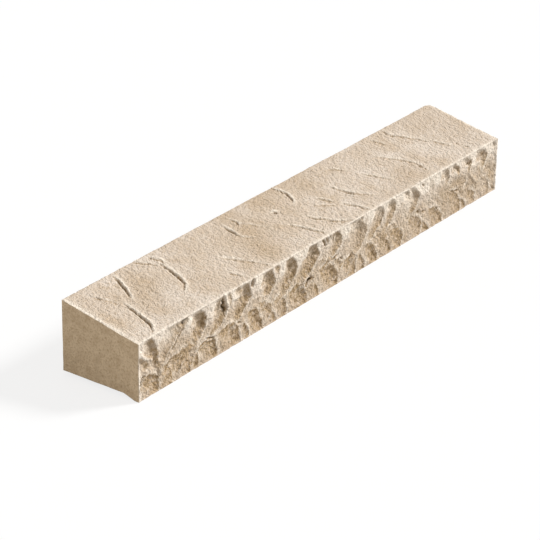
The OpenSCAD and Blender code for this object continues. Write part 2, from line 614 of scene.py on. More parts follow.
    def _held(self, points: Field, depth: Field) -> Field:
        """Keeps the relief shallow along the arris, the lip and the ends, with chips and notches.

        Args:
            points: places on the face.
            depth: depth below the plane of the face.

        Returns:
            The depth that is left, never less than 0.
        """
        x, z = points[..., 0], points[..., 2]
        under_arris = self.arris_depth + self.arris_slope * np.clip(self.top - z, 0, None)
        notches = self.grain.pattern(points + 10 * self.APART, self.notches)
        over_lip = self.lip_depth + self.lip_slope * np.clip(z, 0, None)
        chips = self.grain.pattern(points + 6 * self.APART, self.chips)
        depth = np.minimum(depth, np.minimum(under_arris + notches, over_lip + chips))
        inside = smooth_step(x, 0, self.end_margin) * smooth_step(self.length - x, 0, self.end_margin)
        return np.clip(depth * (self.end_share + (1 - self.end_share) * inside), 0, None)

    def _painted_highlights(self, spots: Spots, stain_and_shade: Field, crest_and_highlight: Field) -> Field:
        """Grades the painted light and highlight: up by the arris, on lit rims and in patches.

        Args:
            spots: places on the face.
            stain_and_shade: how brown the bites are, with their painted shade.
            crest_and_highlight: how near each place is to the crest of a bite.

        Returns:
            Painted light and highlight, from 0 to 1.
        """
        points = spots.points
        patchy = self.grain.pattern(points + 8 * self.APART, self.patchy)
        rim = crest_and_highlight * self.grain.pattern(points + 7 * self.APART, self.broken_rim)
        flecked = self.grain.pattern(points + 11 * self.APART, self.flecked)
        flecked = flecked * smooth_step(spots.across, *self.highlight_heights)
        # Painted light that grows paler up towards the arris.
        pale = self.pale * smooth_step(points[..., 2], *self.paler) * patchy
        # Patches of painted highlight below the arris.
        for middle, reach in self.highlight_patches:
            pale = np.maximum(pale, flecked * bump(spots.x - middle, reach))
        return np.clip(np.maximum(pale * (1 - stain_and_shade), rim), 0, 1)

    def relief_at(self, x: Field, z: Field) -> Relief:
        """Works out what the chisel has left of the face.

        Args:
            x: places along the face, from the left end.
            z: heights of the places.

        Returns:
            Depth below the plane of the face, never less than 0, with its stain and painted shade, and its
            painted light and highlight.
        """
        points = np.stack([x, np.zeros_like(x), z], axis=-1)
        bent_x = x + self.grain.layers(points, self.bend)
        bent_z = z + self.grain.layers(points + self.APART, self.bend)
        spots = Spots(points, bent_x, bent_z)
        bitten = self._bitten(spots)
        cracks = sum(slit.depth_at(bent_x, bent_z) for slit in self.slits)
        depth = self._held(points, self._roughened(spots, bitten, cracks))
        # Brown stain and painted shade in the bites, kept off the arris.
        stain_and_shade = np.clip(bitten.stain_and_shade, 0, 1) * smooth_step(self.top - z, 0, self.clean_arris)
        # Painted shade that darkens the cracks.
        dark = np.clip(cracks / self.slit_depth, 0, 1)
        # Painted light and highlight, kept off the cracks.
        pale = self._painted_highlights(spots, stain_and_shade, bitten.crest_and_highlight) * (1 - dark)
        return Relief(depth, np.maximum(stain_and_shade, dark), pale)


@dataclass(frozen=True)
class CleftTop:
    """The top: a sandy bed of stone with low ledges and cracks that run from back to front.

    Places on it are given from the left end and from the front face.
    """

    grain: Grain

    # How far apart the copies of the noise lie, and how high they start.
    APART = np.array([0.0, 0.0, 60.0])
    start: float = 200.0
    bend: Sizes = ((16, 1.3), (5, 0.6))
    # Noise that gives it depth, in millimetres.
    swell: Pattern = Pattern(((70, 0.35), (28, 0.3), (13, 0.16)), 0.5, low=-math.inf)
    dots: Pattern = Pattern(((3.0, 2.5),), 0.5, 0.5, 1.5)
    sand: Sizes = ((6, 0.2), (3.2, 0.28))
    even_sand: float = 0.7
    more_sand: float = 0.5
    sandy_cell: float = 32
    sandy: tuple[float, float] = (-0.1, 0.5)
    pocks: Pattern = Pattern(((3.2, 1.1),), -0.33)
    # Painted highlight for each millimetre that a crack's lip stands up.
    lip_highlight: float = 3
    # Stain: what settles all over, the painted shade that darkens the cracks, and its share in each patch.
    soil: Pattern = Pattern(((24, 0.25),), 0.08, low=-math.inf)
    deep_stain_and_shade: float = 1.2
    crack_shade_from: float = 0.15
    crack_shade_most: float = 0.95
    patch_share: float = 0.2
    cracks: tuple[Slit, ...] = (
        Slit(((57, 70), (53, 60), (50, 52), (45, 44)), 1.25, 3.2, 0.4),
        Slit(((34, 40), (32, 32), (31, 22), (29, 13), (22, 5)), 1.25, 3.4, 0.5),
        Slit(((100, 60), (99, 52), (98, 43), (97, 36), (94, 30), (86, 24)), 1.25, 3.4, 0.5),
        Slit(((186, 62), (185, 53), (185, 45)), 1.2, 3.0, 0.4),
        Slit(((266, 75), (270, 66), (271, 61), (268, 55), (264, 50)), 1.25, 3.2, 0.4),
        Slit(((237, 49.5), (239.5, 48.5)), 1.7, 5.0, 0.0),
    )
    chains: tuple[Slit, ...] = (
        Slit(((84, 75), (89, 68), (96, 60)), 1.6, 3.2),
        Slit(((100, 70), (104, 63), (103, 57)), 1.5, 2.4),
        Slit(((185, 45), (189, 40), (194, 35)), 1.3, 1.8, 0.2),
        Slit(((200, 56), (207, 47), (214, 38)), 1.3, 1.5, 0.2),
        Slit(((146, 36), (149, 31), (153, 27), (162, 16), (170, 6)), 1.4, 1.7, 0.3),
        Slit(((229, 33), (234, 27), (239, 19), (243, 12), (247, 4)), 1.4, 2.2, 0.3),
        Slit(((254, 30), (259, 24), (265, 17), (270, 10), (276, 5), (283, 3)), 1.4, 2.2, 0.3),
        Slit(((274, 36), (282, 31), (291, 24)), 1.4, 1.9, 0.2),
        Slit(((286, 41), (290, 35), (293, 29)), 1.4, 1.9, 0.2),
        Slit(((310, 45), (314, 37), (316, 31), (322, 24), (329, 16)), 1.5, 2.4, 0.4),
        Slit(((298, 22), (303, 16), (306, 10), (309, 4)), 1.4, 2.0, 0.3),
        Slit(((383, 52), (390, 45), (398, 36), (404, 29), (408, 20), (406, 6)), 1.4, 2.0, 0.4),
        Slit(((429, 75), (428, 66), (434, 57), (442, 47), (449, 38)), 1.4, 2.0, 0.4),
        Slit(((405, 70), (409, 63), (412, 56)), 1.4, 1.6, 0.2),
        Slit(((453, 36), (457, 26), (462, 18)), 1.4, 1.9, 0.3),
        Slit(((471, 12), (473, 6)), 1.3, 1.7, 0.1),
        Slit(((18, 66), (23, 58), (28, 50), (30, 43)), 1.4, 1.5, 0.2),
        Slit(((133, 18), (137, 12), (142, 5)), 1.3, 1.5, 0.2),
        Slit(((198, 66), (200, 60), (198, 56)), 1.4, 1.7, 0.1),
        Slit(((333, 66), (338, 60), (344, 52)), 1.3, 1.4, 0.2),
        Slit(((352, 40), (358, 32), (366, 20)), 1.3, 1.3, 0.2),
    )
    # The middle and the reach of each soiled patch and of each clean one.
    soiled: Triples = (
        (70, 52, 17), (205, 62, 26), (245, 56, 24), (295, 64, 22), (150, 24, 18), (190, 14, 16),
    )
    clean: Triples = (
        (62, 12, 18), (88, 14, 18), (110, 40, 14), (350, 22, 24), (437, 26, 20), (490, 50, 16),
    )

    def _stain(self, points: Field, cracks: Field) -> Field:
        """Grades how brown the top is, in soiled and clean patches, and with painted shade along the
        cracks.

        Args:
            points: places on the top.
            cracks: how deep the cracks are there.

        Returns:
            Stain and painted shade, from 0 to 1.
        """
        x, y = points[..., 0], points[..., 1]
        soil = self.grain.pattern(points + 7 * self.APART, self.soil)
        for patches, share in ((self.soiled, self.patch_share), (self.clean, -self.patch_share)):
            for middle_x, middle_y, reach in patches:
                soil = soil + share * bump(np.hypot(x - middle_x, y - middle_y), reach)
        # Painted shade that darkens the cracks.
        deep_stain_and_shade = np.clip(cracks / self.deep_stain_and_shade - self.crack_shade_from, 0, self.crack_shade_most)
        return np.maximum(np.clip(soil, 0, 1), deep_stain_and_shade)

    def relief_at(self, x: Field, y: Field) -> Relief:
        """Works out what weather and cleaving have left of the top.

        Args:
            x: places along the sill, from the left end.
            y: distances of the places from the front face.

        Returns:
            Depth below the plane of the top, never less than 0, with its stain and painted shade, and
            painted highlight on the cracks' lips.
        """
        points = np.stack([x, y, np.full_like(x, self.start)], axis=-1)
        bent_x = x + self.grain.layers(points, self.bend)
        bent_y = y + self.grain.layers(points + self.APART, self.bend)
        dots = self.grain.pattern(points + 6 * self.APART, self.dots)
        cracks = sum(crack.depth_at(bent_x, bent_y) for crack in self.cracks)
        cracks = cracks + dots * sum(chain.depth_at(bent_x, bent_y) for chain in self.chains)
        sandy = self.grain.at(points + 3 * self.APART, self.sandy_cell)
        sandy = smooth_step(sandy, *self.sandy)
        sand = self.grain.layers(points + 5 * self.APART, self.sand)
        sand = sand * (self.even_sand + self.more_sand * sandy)
        pocks = self.grain.pattern(points + 4 * self.APART, self.pocks) * sandy
        depth = self.grain.pattern(points + 2 * self.APART, self.swell) + cracks + sand + pocks
        # Painted highlight on the raised lips of the cracks.
        lips = np.clip(-self.lip_highlight * cracks, 0, 1)
        return Relief(np.clip(depth, 0, None), self._stain(points, cracks), lips)


@dataclass(frozen=True)
class CastSurface:
    """The back, the bed and the ends: flat off the mould, with a few air holes."""

    grain: Grain

    apart: float = 300.0
    waves: Pattern = Pattern(((45, 0.12), (9, 0.06)), 0.15, low=-math.inf)
    holes: Pattern = Pattern(((6, 4),), -2.48)

    def depth_at(self, places: Field) -> Field:
        """Returns how far a cast side lies below its plane, never less than 0."""
        holes = self.grain.pattern(places + self.apart, self.holes)
        return np.clip(self.grain.pattern(places, self.waves) + holes, 0, None)


def spread(field: Field, reach: int) -> Field:
    """Averages a field over the square of points round each of its points.

    Args:
        field: a field over two axes.
        reach: how many points the square takes in on each side.

    Returns:
        The averaged field.
    """
    window = 2 * reach + 1
    for _ in field.shape:
        padded = np.pad(field, ((reach + 1, reach), (0, 0)), mode="edge")
        total = np.cumsum(padded, axis=0)
        field = ((total[window:] - total[:-window]) / window).T
    return field


class Outline:
    """The section's outline at every station, gathered strip by strip."""

    FINISH = ("cast", "wear_and_highlight", "hollow", "stain_and_shade", "grit")
    LAYERS = ("y", "z", *FINISH)

    def __init__(self, stations: int) -> None:
        """Starts with no strips and with this many stations along the sill."""
        self._stations = stations
        self._strips: list[Field] = []

    def add(self, **layers: Field | float) -> None:
        """Adds a strip.

        Args:
            layers: the strip's y and z in millimetres, and any of the other layers, which are 0
                where they aren't given.
        """
        rows = np.shape(layers["y"])[-1]
        fields = [np.broadcast_to(layers.get(name, 0.0), (self._stations, rows)) for name in self.LAYERS]
        self._strips.append(np.stack(fields, axis=-1))

    def bridge(self, places: Sequence[int], corners: Sequence[tuple[Field, Field]], rows: int) -> None:
        """Rounds each corner between one strip and the next, and joins all strips into one.

        Args:
            places: the strips that have a rounded corner after them.
            corners: where the sides would meet at each of those corners.
            rows: how many rows of points go round a corner.
        """
        joined = []
        share = (np.arange(1, rows + 1) / (rows + 1))[:, None]
        for i, strip in enumerate(self._strips):
            joined.append(strip)
            if i not in places:
                continue
            before = strip[:, -1, None]
            after = self._strips[(i + 1) % len(self._strips)][:, 0, None]
            middle = (before + after) / 2
            middle[..., 0, 0], middle[..., 0, 1] = corners[places.index(i)]
            joined.append((1 - share) ** 2 * before + 2 * share * (1 - share) * middle + share**2 * after)
        self._strips = [np.concatenate(joined, axis=1)]

    def layers(self) -> dict[str, Field]:
        """Returns each layer over the stations and the whole outline."""
        whole = self._strips[0]
        return {name: whole[..., i] for i, name in enumerate(self.LAYERS)}


@dataclass(frozen=True)
class Rows:
    """How many rows of points run along each strip of the outline."""

    face: int = 60
    top: int = 70
    back: int = 9
    bed: int = 10
    slope: int = 5
    nose: int = 5
    arris: int = 4


def add_object(name: str, data: bpy.types.ID) -> bpy.types.Object:
    """Adds an object to the scene.

    Args:
        name: name of the object.
        data: its mesh, light or camera.

    Returns:
        The new object.
    """
    thing = bpy.data.objects.new(name, data)
    bpy.context.scene.collection.objects.link(thing)
    return thing


@dataclass(frozen=True)
class Sill:
    """The sill: one closed mesh that follows the section from end to end, in its box."""

    low: Vector
    high: Vector
    face: ChiselledFace
    top: CleftTop
    cast: CastSurface
    grain: Grain

    rows: Rows = Rows()
    stations: int = 516
    # The strips that have a rounded corner after them: the face, the top, the back and the nose.
    ROUNDED = (0, 1, 2, 5)
    CORNER_ROUNDS = 4
    # Sizes of the section in millimetres.
    lip_drop: float = 3.4
    nose: float = 4.0
    slope: float = 11.0
    back_top: float = 64.4
    fall: float = 14.8
    arris: float = 0.5
    lip_arris: float = 0.2
    back_drop: float = 0.1
    worn_corner: float = 4.2
    worn_start: float = 1.0
    corner_reach: float = 14.0
    # The ends: the turns of their arris in degrees, its chips, and the rings that close them.
    turns: tuple[float, ...] = (22.5, 45.0, 67.5, 90.0)
    end_chips: Pattern = Pattern(((7, 0.9), (3, 0.5)), high=1.2)
    chip_in: float = 0.5
    chip_along: float = 0.4
    cap_shares: tuple[float, ...] = (0.97, 0.92, 0.85, 0.76, 0.66, 0.55, 0.43, 0.3, 0.15, 0.0)
    cap_rise: float = 8
    # Wear of the arrises, and the painted highlight along them and on the lit crests, in millimetres where
    # it is a reach.
    apart: float = 600.0
    arris_start: float = 500.0
    arris_radius: Pattern = Pattern(((24, 0.25), (9, 0.35), (4, 0.3)), 0.8, 0.3, 2.0)
    # Reach and depth of the hollowness, which grades painted shade in hollows and painted highlight on
    # ridges.
    hollow_reach: int = 2
    hollow_depth: float = 0.7
    crest_highlight: float = 0.95
    wear_reach: float = 4.4
    wear_patches: Pattern = Pattern(((16, 2.4),), 1, 0.4, 3)
    top_wear_reach: float = 1.2
    end_wear_and_highlight: float = 2.5
    end_wear_reach: float = 2.4
    # Wear and painted highlight reach this much further from here on along the face, and are weaker where
    # there is stain and painted shade.
    more_wear: float = 0.9
    more_worn: tuple[float, float] = (260, 360)
    stained_wear: float = 0.5
    # What the finish reads on each kind of side.
    CAST_SIDE = {"cast": 1.0, "hollow": 0.5, "grit": 0.4}
    NOSE_SIDE = {"cast": 0.3, "hollow": 0.5, "grit": 0.3}
    nose_relief: float = 0.4
    top_grit: float = 0.75
    face_grit: float = 0.7

    @property
    def length(self) -> float:
        """Returns the length of the sill in millimetres."""
        return (self.high.x - self.low.x) / MM

    @property
    def depth(self) -> float:
        """Returns the depth of the sill from front to back in millimetres."""
        return (self.high.y - self.low.y) / MM

    def _top_plane(self, y: Field) -> Field:
        """Returns the height of the top's plane at a distance from the front face."""
        return self.back_top - self.fall * (1 - y / self.depth)

    def _arris_radius(self, x: Field) -> Field:
        """Returns how far the top arris of the face is worn back at each place along the sill."""
        places = np.stack([x, x * 0, x * 0 + self.arris_start], axis=-1)
        return self.grain.pattern(places, self.arris_radius)

    def _front_corner(self, x: Field) -> tuple[Field, Field]:
        """Finds where the relief of the face and the relief of the top meet.

        Args:
            x: places along the sill.

        Returns:
            The distance from the front and the height of the corner at each place.
        """
        y = np.zeros_like(x)
        for _ in range(self.CORNER_ROUNDS):
            z = self._top_plane(y) - self.top.relief_at(x, y).depth
            y = self.face.relief_at(x, z).depth
        return y, z

    def _hollowness(self, depth: Field) -> Field:
        """Returns 0 on ridges, 0.5 where a side is even, and 1 in hollows."""
        relative = depth - spread(depth, self.hollow_reach)
        return np.clip(0.5 + relative / (2 * self.hollow_depth), 0, 1)

    def _worked_side(self, x: Field, relief: Relief, wear_and_highlight: Field) -> dict[str, Field]:
        """Works out what the finish reads on a worked side.

        Args:
            x: places along the sill.
            relief: the side's relief.
            wear_and_highlight: how worn it is, with its painted highlight, away from the ends.

        Returns:
            Its wear and painted highlight, hollowness, and stain with painted shade. Along the ends it is
            worn and painted pale too, half as far at the right.
        """
        # The ends' arrises are paler as well: wear and painted highlight.
        from_end = np.minimum(x, 2 * (self.length - x))
        end_wear_and_highlight = np.clip(self.end_wear_and_highlight * np.exp(-from_end / self.end_wear_reach), 0, 1)
        hollow = self._hollowness(relief.depth)
        return {"wear_and_highlight": np.maximum(wear_and_highlight, end_wear_and_highlight), "hollow": hollow, "stain_and_shade": relief.stain_and_shade}

    def _add_face(self, outline: Outline, x: Field, end: Field) -> Field:
        """Adds the face, from the lip up.

        Args:
            outline: the outline to add it to.
            x: the stations.
            end: height at each station where the arris starts.

        Returns:
            Depth below the face's plane along its lower edge.
        """
        share = np.linspace(0, 1, self.rows.face)
        z = self.lip_arris + share * (end - self.lip_arris)[:, None]
        along = np.broadcast_to(x[:, None], z.shape)
        relief = self.face.relief_at(along, z)
        places = np.stack([along, np.zeros_like(z), z], axis=-1)
        # Wear along the arris, with painted highlight there, on the lit crests of the bites and in the pale
        # patches.
        reach = self.wear_reach * self.grain.pattern(places + self.apart, self.wear_patches)
        reach = reach * (1 + self.more_wear * smooth_step(along, *self.more_worn))
        wear_and_highlight = np.maximum(np.exp((z - end[:, None]) / reach), self.crest_highlight * relief.crest_and_highlight)
        wear_and_highlight = wear_and_highlight * (1 - self.stained_wear * relief.stain_and_shade**3)
        grit = self.face_grit + (1 - self.face_grit) * relief.stain_and_shade
        outline.add(y=relief.depth, z=z, grit=grit, **self._worked_side(along, relief, wear_and_highlight))
        return relief.depth[:, 0]

    def _add_top(self, outline: Outline, x: Field, start: Field) -> Field:
        """Adds the top, from the front back.

        Args:
            outline: the outline to add it to.
            x: the stations.
            start: distance from the front at each station where the arris ends.

        Returns:
            Depth below the top's plane along its back edge.
        """
        start = start[:, None]
        y = start + np.linspace(0, 1, self.rows.top) * (self.depth - self.arris - start)
        along = np.broadcast_to(x[:, None], y.shape)
        relief = self.top.relief_at(along, y)
        # Wear along the front arris, with painted highlight there and on the cracks' lips.
        wear_and_highlight = np.maximum(np.exp((start - y) / self.top_wear_reach), self.crest_highlight * relief.crest_and_highlight)
        z = self._top_plane(y) - relief.depth
        outline.add(y=y, z=z, grit=self.top_grit, **self._worked_side(along, relief, wear_and_highlight))
        return relief.depth[:, -1]

    def _add_cast_sides(self, outline: Outline, x: Field, lip: Field) -> None:
        """Adds the back, the bed, and the slope and nose of the drip lip, from the back round.

        Args:
            outline: the outline to add them to.
            x: the stations.
            lip: distance from the front of the face's lower edge at each station.
        """
        rows = self.rows
        z = np.linspace(self.back_top - 2 * self.arris, self.lip_drop + self.arris, rows.back)
        outline.add(y=self.depth - self._cast_depth(x, self.depth, z), z=z, **self.CAST_SIDE)

        y = np.linspace(self.depth - self.arris, self.nose + self.slope, rows.bed)
        outline.add(y=y, z=self.lip_drop + self._cast_depth(x, y, self.lip_drop), **self.CAST_SIDE)

        share = 1 - np.arange(1, rows.slope + 1) / (rows.slope + 1)
        y = self.nose + self.slope * share
        outline.add(y=y, z=self.lip_drop * share + self._cast_depth(x, y, 0.0), **self.CAST_SIDE)

        y = self.nose + np.linspace(0, 1, rows.nose) * (lip[:, None] + self.lip_arris - self.nose)
        outline.add(y=y, z=self.nose_relief * self._cast_depth(x, y, 0.0), **self.NOSE_SIDE)

    def _outline(self, x: Field) -> dict[str, Field]:
        """Builds the section's outline at every station.

        Args:
            x: the stations, as distances from the left end.

        Returns:
            The layers of the outline, each with one row for each station.
        """
        corner_y, corner_z = self._front_corner(x)
        radius = self._arris_radius(x)
        outline = Outline(len(x))
        lip = self._add_face(outline, x, corner_z - radius)
        back = self._add_top(outline, x, corner_y + radius)
        self._add_cast_sides(outline, x, lip)
        corners = (
            (corner_y, corner_z),
            (self.depth, self.back_top - back - self.back_drop),
            (self.depth, self.lip_drop),
            (lip, 0.0),
        )
        outline.bridge(self.ROUNDED, corners, self.rows.arris)
        return outline.layers()

    def _cast_depth(self, x: Field, y: Field | float, z: Field | float) -> Field:
        """Returns how far a cast strip lies below its plane, for each station and row."""
        across = np.broadcast_arrays(x[:, None], *np.atleast_2d(y, z))
        return self.cast.depth_at(np.stack(across, axis=-1))

    def _end_rings(self, ring: Field, outward: int) -> Field:
        """Builds the rings that turn the corner at one end and close it off.

        Args:
            ring: the outermost station's points, with all of their layers.
            outward: 1 at the right end and -1 at the left.

        Returns:
            The rings from the station outward, and the middle point last, as a ring of its own.
        """
        layers = ("cast", "wear_and_highlight", "hollow", "grit")
        cast, wear_and_highlight, hollow, grit = (1 + Outline.LAYERS.index(name) for name in layers)
        middle = np.array([self.depth / 2, self.back_top / 2])
        chips = self.grain.pattern(ring[:, :3], self.end_chips)
        rings = []
        for turn in self.turns:
            angle = math.radians(turn)
            chipped = chips * math.sin(2 * angle)
            inset = self.arris * (1 - math.cos(angle)) + self.chip_in * chipped
            turned = ring.copy()
            turned[:, 0] += outward * (self.arris * math.sin(angle) - self.chip_along * chipped)
            turned[:, 1:3] -= (turned[:, 1:3] - middle) * (inset[:, None] / middle)
            turned[:, cast] = np.maximum(turned[:, cast], turn / self.turns[-1])
            turned[:, hollow] = self.CAST_SIDE["hollow"]
            turned[:, grit] = self.CAST_SIDE["grit"]
            rings.append(turned)
        edge = rings[-1]
        for share in self.cap_shares:
            closing = edge.copy()
            closing[:, 1:3] = middle + (edge[:, 1:3] - middle) * share
            sunk = self.cast.depth_at(closing[:, :3]) * min(1.0, self.cap_rise * (1 - share))
            closing[:, 0] -= outward * sunk
            closing[:, wear_and_highlight] = 0.0
            rings.append(closing)
        return np.stack(rings)

    def _wear_corner(self, rings: Field) -> None:
        """Rounds off the sill's right-hand back corner, which has worn.

        Args:
            rings: every ring of points, which is changed in place.
        """
        radius = self.worn_corner
        past = np.clip(rings[..., 1] + self.worn_start - (self.depth - radius), 0, radius)
        lost = radius - np.sqrt(radius**2 - past**2)
        reach = np.clip((rings[..., 0] - self.length + self.corner_reach) / self.corner_reach, 0, 1)
        rings[..., 0] -= lost * reach

    def _rings(self) -> Field:
        """Returns every ring of points from the left end to the right, with its layers."""
        x = np.linspace(self.arris, self.length - self.arris, self.stations)
        layers = self._outline(x)
        along = np.broadcast_to(x[:, None], layers["y"].shape)
        body = np.stack([along, *layers.values()], axis=-1)
        left = self._end_rings(body[0], -1)[::-1]
        right = self._end_rings(body[-1], 1)
        rings = np.concatenate([left, body, right])
        self._wear_corner(rings)
        return rings

    def build(self, finish: bpy.types.Material) -> bpy.types.Object:
        """Builds the sill's mesh and dresses it.

        Args:
            finish: the material that it is made of.

        Returns:
            The finished piece.
        """
        rings = self._rings()
        count, width = rings.shape[:2]
        points = rings[1:-1].reshape(-1, rings.shape[-1])
        points = np.concatenate([points, rings[0, :1], rings[-1, :1]])
        first, last = len(points) - 2, len(points) - 1
        index = np.arange((count - 2) * width).reshape(count - 2, width)
        ahead = np.roll(index, -1, axis=1)
        quads = np.stack([index[:-1], index[1:], ahead[1:], ahead[:-1]], axis=-1).reshape(-1, 4)
        left = [(first, a, b) for a, b in zip(index[0], ahead[0], strict=True)]
        right = [(last, b, a) for a, b in zip(index[-1], ahead[-1], strict=True)]

        places = points[:, :3] * MM + (self.low.x, self.low.y, 0.0)
        places = np.clip(places, self.low, self.high)
        mesh = bpy.data.meshes.new("sill")
        mesh.from_pydata(places.tolist(), [], quads.tolist() + left + right)
        mesh.shade_smooth()
        for name in Outline.FINISH:
            layer = mesh.attributes.new(name, "FLOAT", "POINT")
            values = points[:, 1 + Outline.LAYERS.index(name)]
            layer.data.foreach_set("value", values.astype(np.float32))
        mesh.materials.append(finish)
        return add_object("cast_stone_sill", mesh)


def add_node(tree: Tree, kind: str, inputs: dict | None = None, **settings: object) -> bpy.types.Node:
    """Adds a shader node.

    Args:
        tree: the node tree that it goes in.
        kind: type of the node, without its ShaderNode prefix.
        inputs: for each input, by its name or number, a constant, a socket, or a node that
            gives its first output.
        settings: the node's own settings.

    Returns:
        The new node.
    """
    node = tree.nodes.new("ShaderNode" + kind)
    for name, value in settings.items():
        setattr(node, name, value)
    sockets = [socket for socket in node.inputs if socket.enabled]
    for key, value in (inputs or {}).items():
        socket = sockets[key] if isinstance(key, int) else next(s for s in sockets if s.name == key)
        if isinstance(value, bpy.types.Node):
            value = next(s for s in value.outputs if s.enabled)
        if isinstance(value, bpy.types.NodeSocket):
            tree.links.new(value, socket)
        else:
            socket.default_value = value
    return node


class Tone(Enum):
    """Colours that cast stone shows, and those of its painted shade and highlight, as sRGB."""

    TAN = "#D3C2AF"
    PALE = "#E4D7C9"
    BROWN = "#C0A582"
    # These three darker tones paint shade, with some stain, in the hollows and cracks.
    DEEP = "#A88D67"
    DARK = "#806B4C"
    SHADOW = "#5E4C35"
    # Pale stone that wear has bared, also used as painted highlight.
    FRESH_AND_HIGHLIGHT = "#F7EBDB"
    MOULD = "#E1C9A8"
    MOULD_DARK = "#D0B796"


@dataclass(frozen=True)
class Coat:
    """One tone laid over those before it, as far as a pattern or a layer of the mesh says.

    Attributes:
        tone: its colour.
        mask: what grades it.
        low: value of the mask where the coat starts.
        high: value where it covers most.
        share: how much it covers there.
        within: another mask that holds it back, if any.
    """

    tone: Tone
    mask: str
    low: float
    high: float
    share: float = 1.0
    within: str = ""


@dataclass(frozen=True)
class CastStone:
    """Cast stone: sandy and mottled on its worked sides, and smooth and browner off the mould."""

    roughness: float = 0.92
    specular: float = 0.2

    # Each pattern's real size in millimetres and how many finer layers it has. The grains of
    # sand are nearer 0.7 mm in the real stone, and are drawn coarser so that they show.
    patterns: tuple[tuple[str, float, int], ...] = (
        ("clouds", 55.0, 3),
        ("blotches", 24.0, 4),
        ("patches", 8.0, 3),
        ("mottle", 3.4, 2),
        ("sand", 1.6, 2),
    )
    # The sandy surface, in millimetres. Its finest layer has grains of 0.8 mm.
    grains: float = 3.2
    grain_detail: float = 2.0
    grain_roughness: float = 0.8
    grain_height: float = 3.2
    # Turned against the sill, so that no pattern lines up with its edges.
    turn: tuple[float, float, float] = (0.6, 0.8, 0.4)
    worked: tuple[Coat, ...] = (
        Coat(Tone.PALE, "clouds", 0.36, 0.64),
        Coat(Tone.TAN, "patches", 0.45, 0.75, 0.5),
        Coat(Tone.BROWN, "blotches", 0.52, 0.7, 0.35),
        Coat(Tone.BROWN, "sand", 0.5, 0.75, 0.6),
        # Brown stain and painted shade in the bites and cracks, mottled where strong; painted shade where
        # the side is hollow, darkest in the cracks.
        Coat(Tone.BROWN, "stain_and_shade", 0.0, 1.0),
        Coat(Tone.DEEP, "mottle", 0.45, 0.55, 0.85, within="deep_stain_and_shade"),
        Coat(Tone.DARK, "mottle", 0.56, 0.64, 0.9, within="deep_stain_and_shade"),
        Coat(Tone.TAN, "mottle", 0.45, 0.38, 0.9, within="deep_stain_and_shade"),
        Coat(Tone.DEEP, "hollow", 0.6, 0.9, 0.4),
        Coat(Tone.SHADOW, "stain_and_shade", 0.88, 1.0, 0.9),
        # Painted highlight on ridges, and pale wear with painted highlight along the arrises and crests.
        Coat(Tone.FRESH_AND_HIGHLIGHT, "hollow", 0.38, 0.1, 0.4),
        Coat(Tone.FRESH_AND_HIGHLIGHT, "patches", 0.25, 0.5, within="wear_and_highlight"),
    )
    off_mould: tuple[Coat, ...] = (
        Coat(Tone.MOULD_DARK, "patches", 0.4, 0.7),
        Coat(Tone.BROWN, "sand", 0.46, 0.7, 0.9),
    )

    def _masks(self, tree: Tree, place: Source) -> dict[str, Source]:
        """Adds what grades the coats.

        Args:
            tree: the material's node tree.
            place: where the patterns are read.

        Returns:
            The mesh's own layers, the stain and painted shade squared, and the patterns, by their names.
        """
        masks = {
            name: add_node(tree, "Attribute", attribute_name=name).outputs["Fac"]
            for name in Outline.FINISH
        }
        twice = {0: masks["stain_and_shade"], 1: masks["stain_and_shade"]}
        masks["deep_stain_and_shade"] = add_node(tree, "Math", twice, operation="MULTIPLY")
        for name, size, detail in self.patterns:
            masks[name] = add_node(
                tree, "TexNoise", {"Vector": place, "Scale": 1 / (size * MM), "Detail": detail}
            )
        return masks

    @staticmethod
    def _painted(tree: Tree, masks: dict[str, Source], first: Tone, coats: Sequence[Coat]) -> Source:
        """Lays coats of colour over a first tone.

        Args:
            tree: the material's node tree.
            masks: what grades the coats, by name.
            first: the tone below them all.
            coats: the coats, from the lowest up.

        Returns:
            The node that gives the colour.
        """
        colour = linear(first.value)
        for coat in coats:
            grade = {"Value": masks[coat.mask], "From Min": coat.low, "From Max": coat.high}
            share = add_node(tree, "MapRange", {**grade, "To Max": coat.share})
            if coat.within:
                share = add_node(tree, "Math", {0: masks[coat.within], 1: share}, operation="MULTIPLY")
            layers = {"Factor": share, "A": colour, "B": linear(coat.tone.value)}
            colour = add_node(tree, "Mix", layers, data_type="RGBA")
        return colour

    def build(self) -> bpy.types.Material:
        """Builds the material.

        The stone is cement, tan pigment and light sand, cast in a mould. Its sand gives the worked
        sides bite, stain and painted shade leave the hollows and cracks browner, and worn edges and
        lit crests show pale, partly as painted highlight. The plain sides are smooth and even.

        Returns:
            The material.
        """
        material = bpy.data.materials.new("cast_stone")
        material.use_nodes = True
        tree = material.node_tree
        tree.nodes.clear()
        held = add_node(tree, "TexCoord").outputs["Object"]
        place = add_node(tree, "Mapping", {"Vector": held, "Rotation": self.turn})
        masks = self._masks(tree, place)
        worked = self._painted(tree, masks, Tone.TAN, self.worked)
        off_mould = self._painted(tree, masks, Tone.MOULD, self.off_mould)
        sides = {"Factor": masks["cast"], "A": worked, "B": off_mould}
        colour = add_node(tree, "Mix", sides, data_type="RGBA")

        height = add_node(tree, "MapRange", {"Value": masks["grit"], "To Max": self.grain_height * MM})
        grains = {"Vector": place, "Scale": 1 / (self.grains * MM), "Detail": self.grain_detail}
        sand = add_node(tree, "TexNoise", {**grains, "Roughness": self.grain_roughness})
        relief = add_node(tree, "Bump", {"Strength": 1.0, "Distance": height, "Height": sand})

        looks = {"Base Color": colour, "Roughness": self.roughness, "Normal": relief}
        stone = add_node(tree, "BsdfPrincipled", {**looks, "Specular IOR Level": self.specular})
        add_node(tree, "OutputMaterial", {"Surface": stone})
        return material


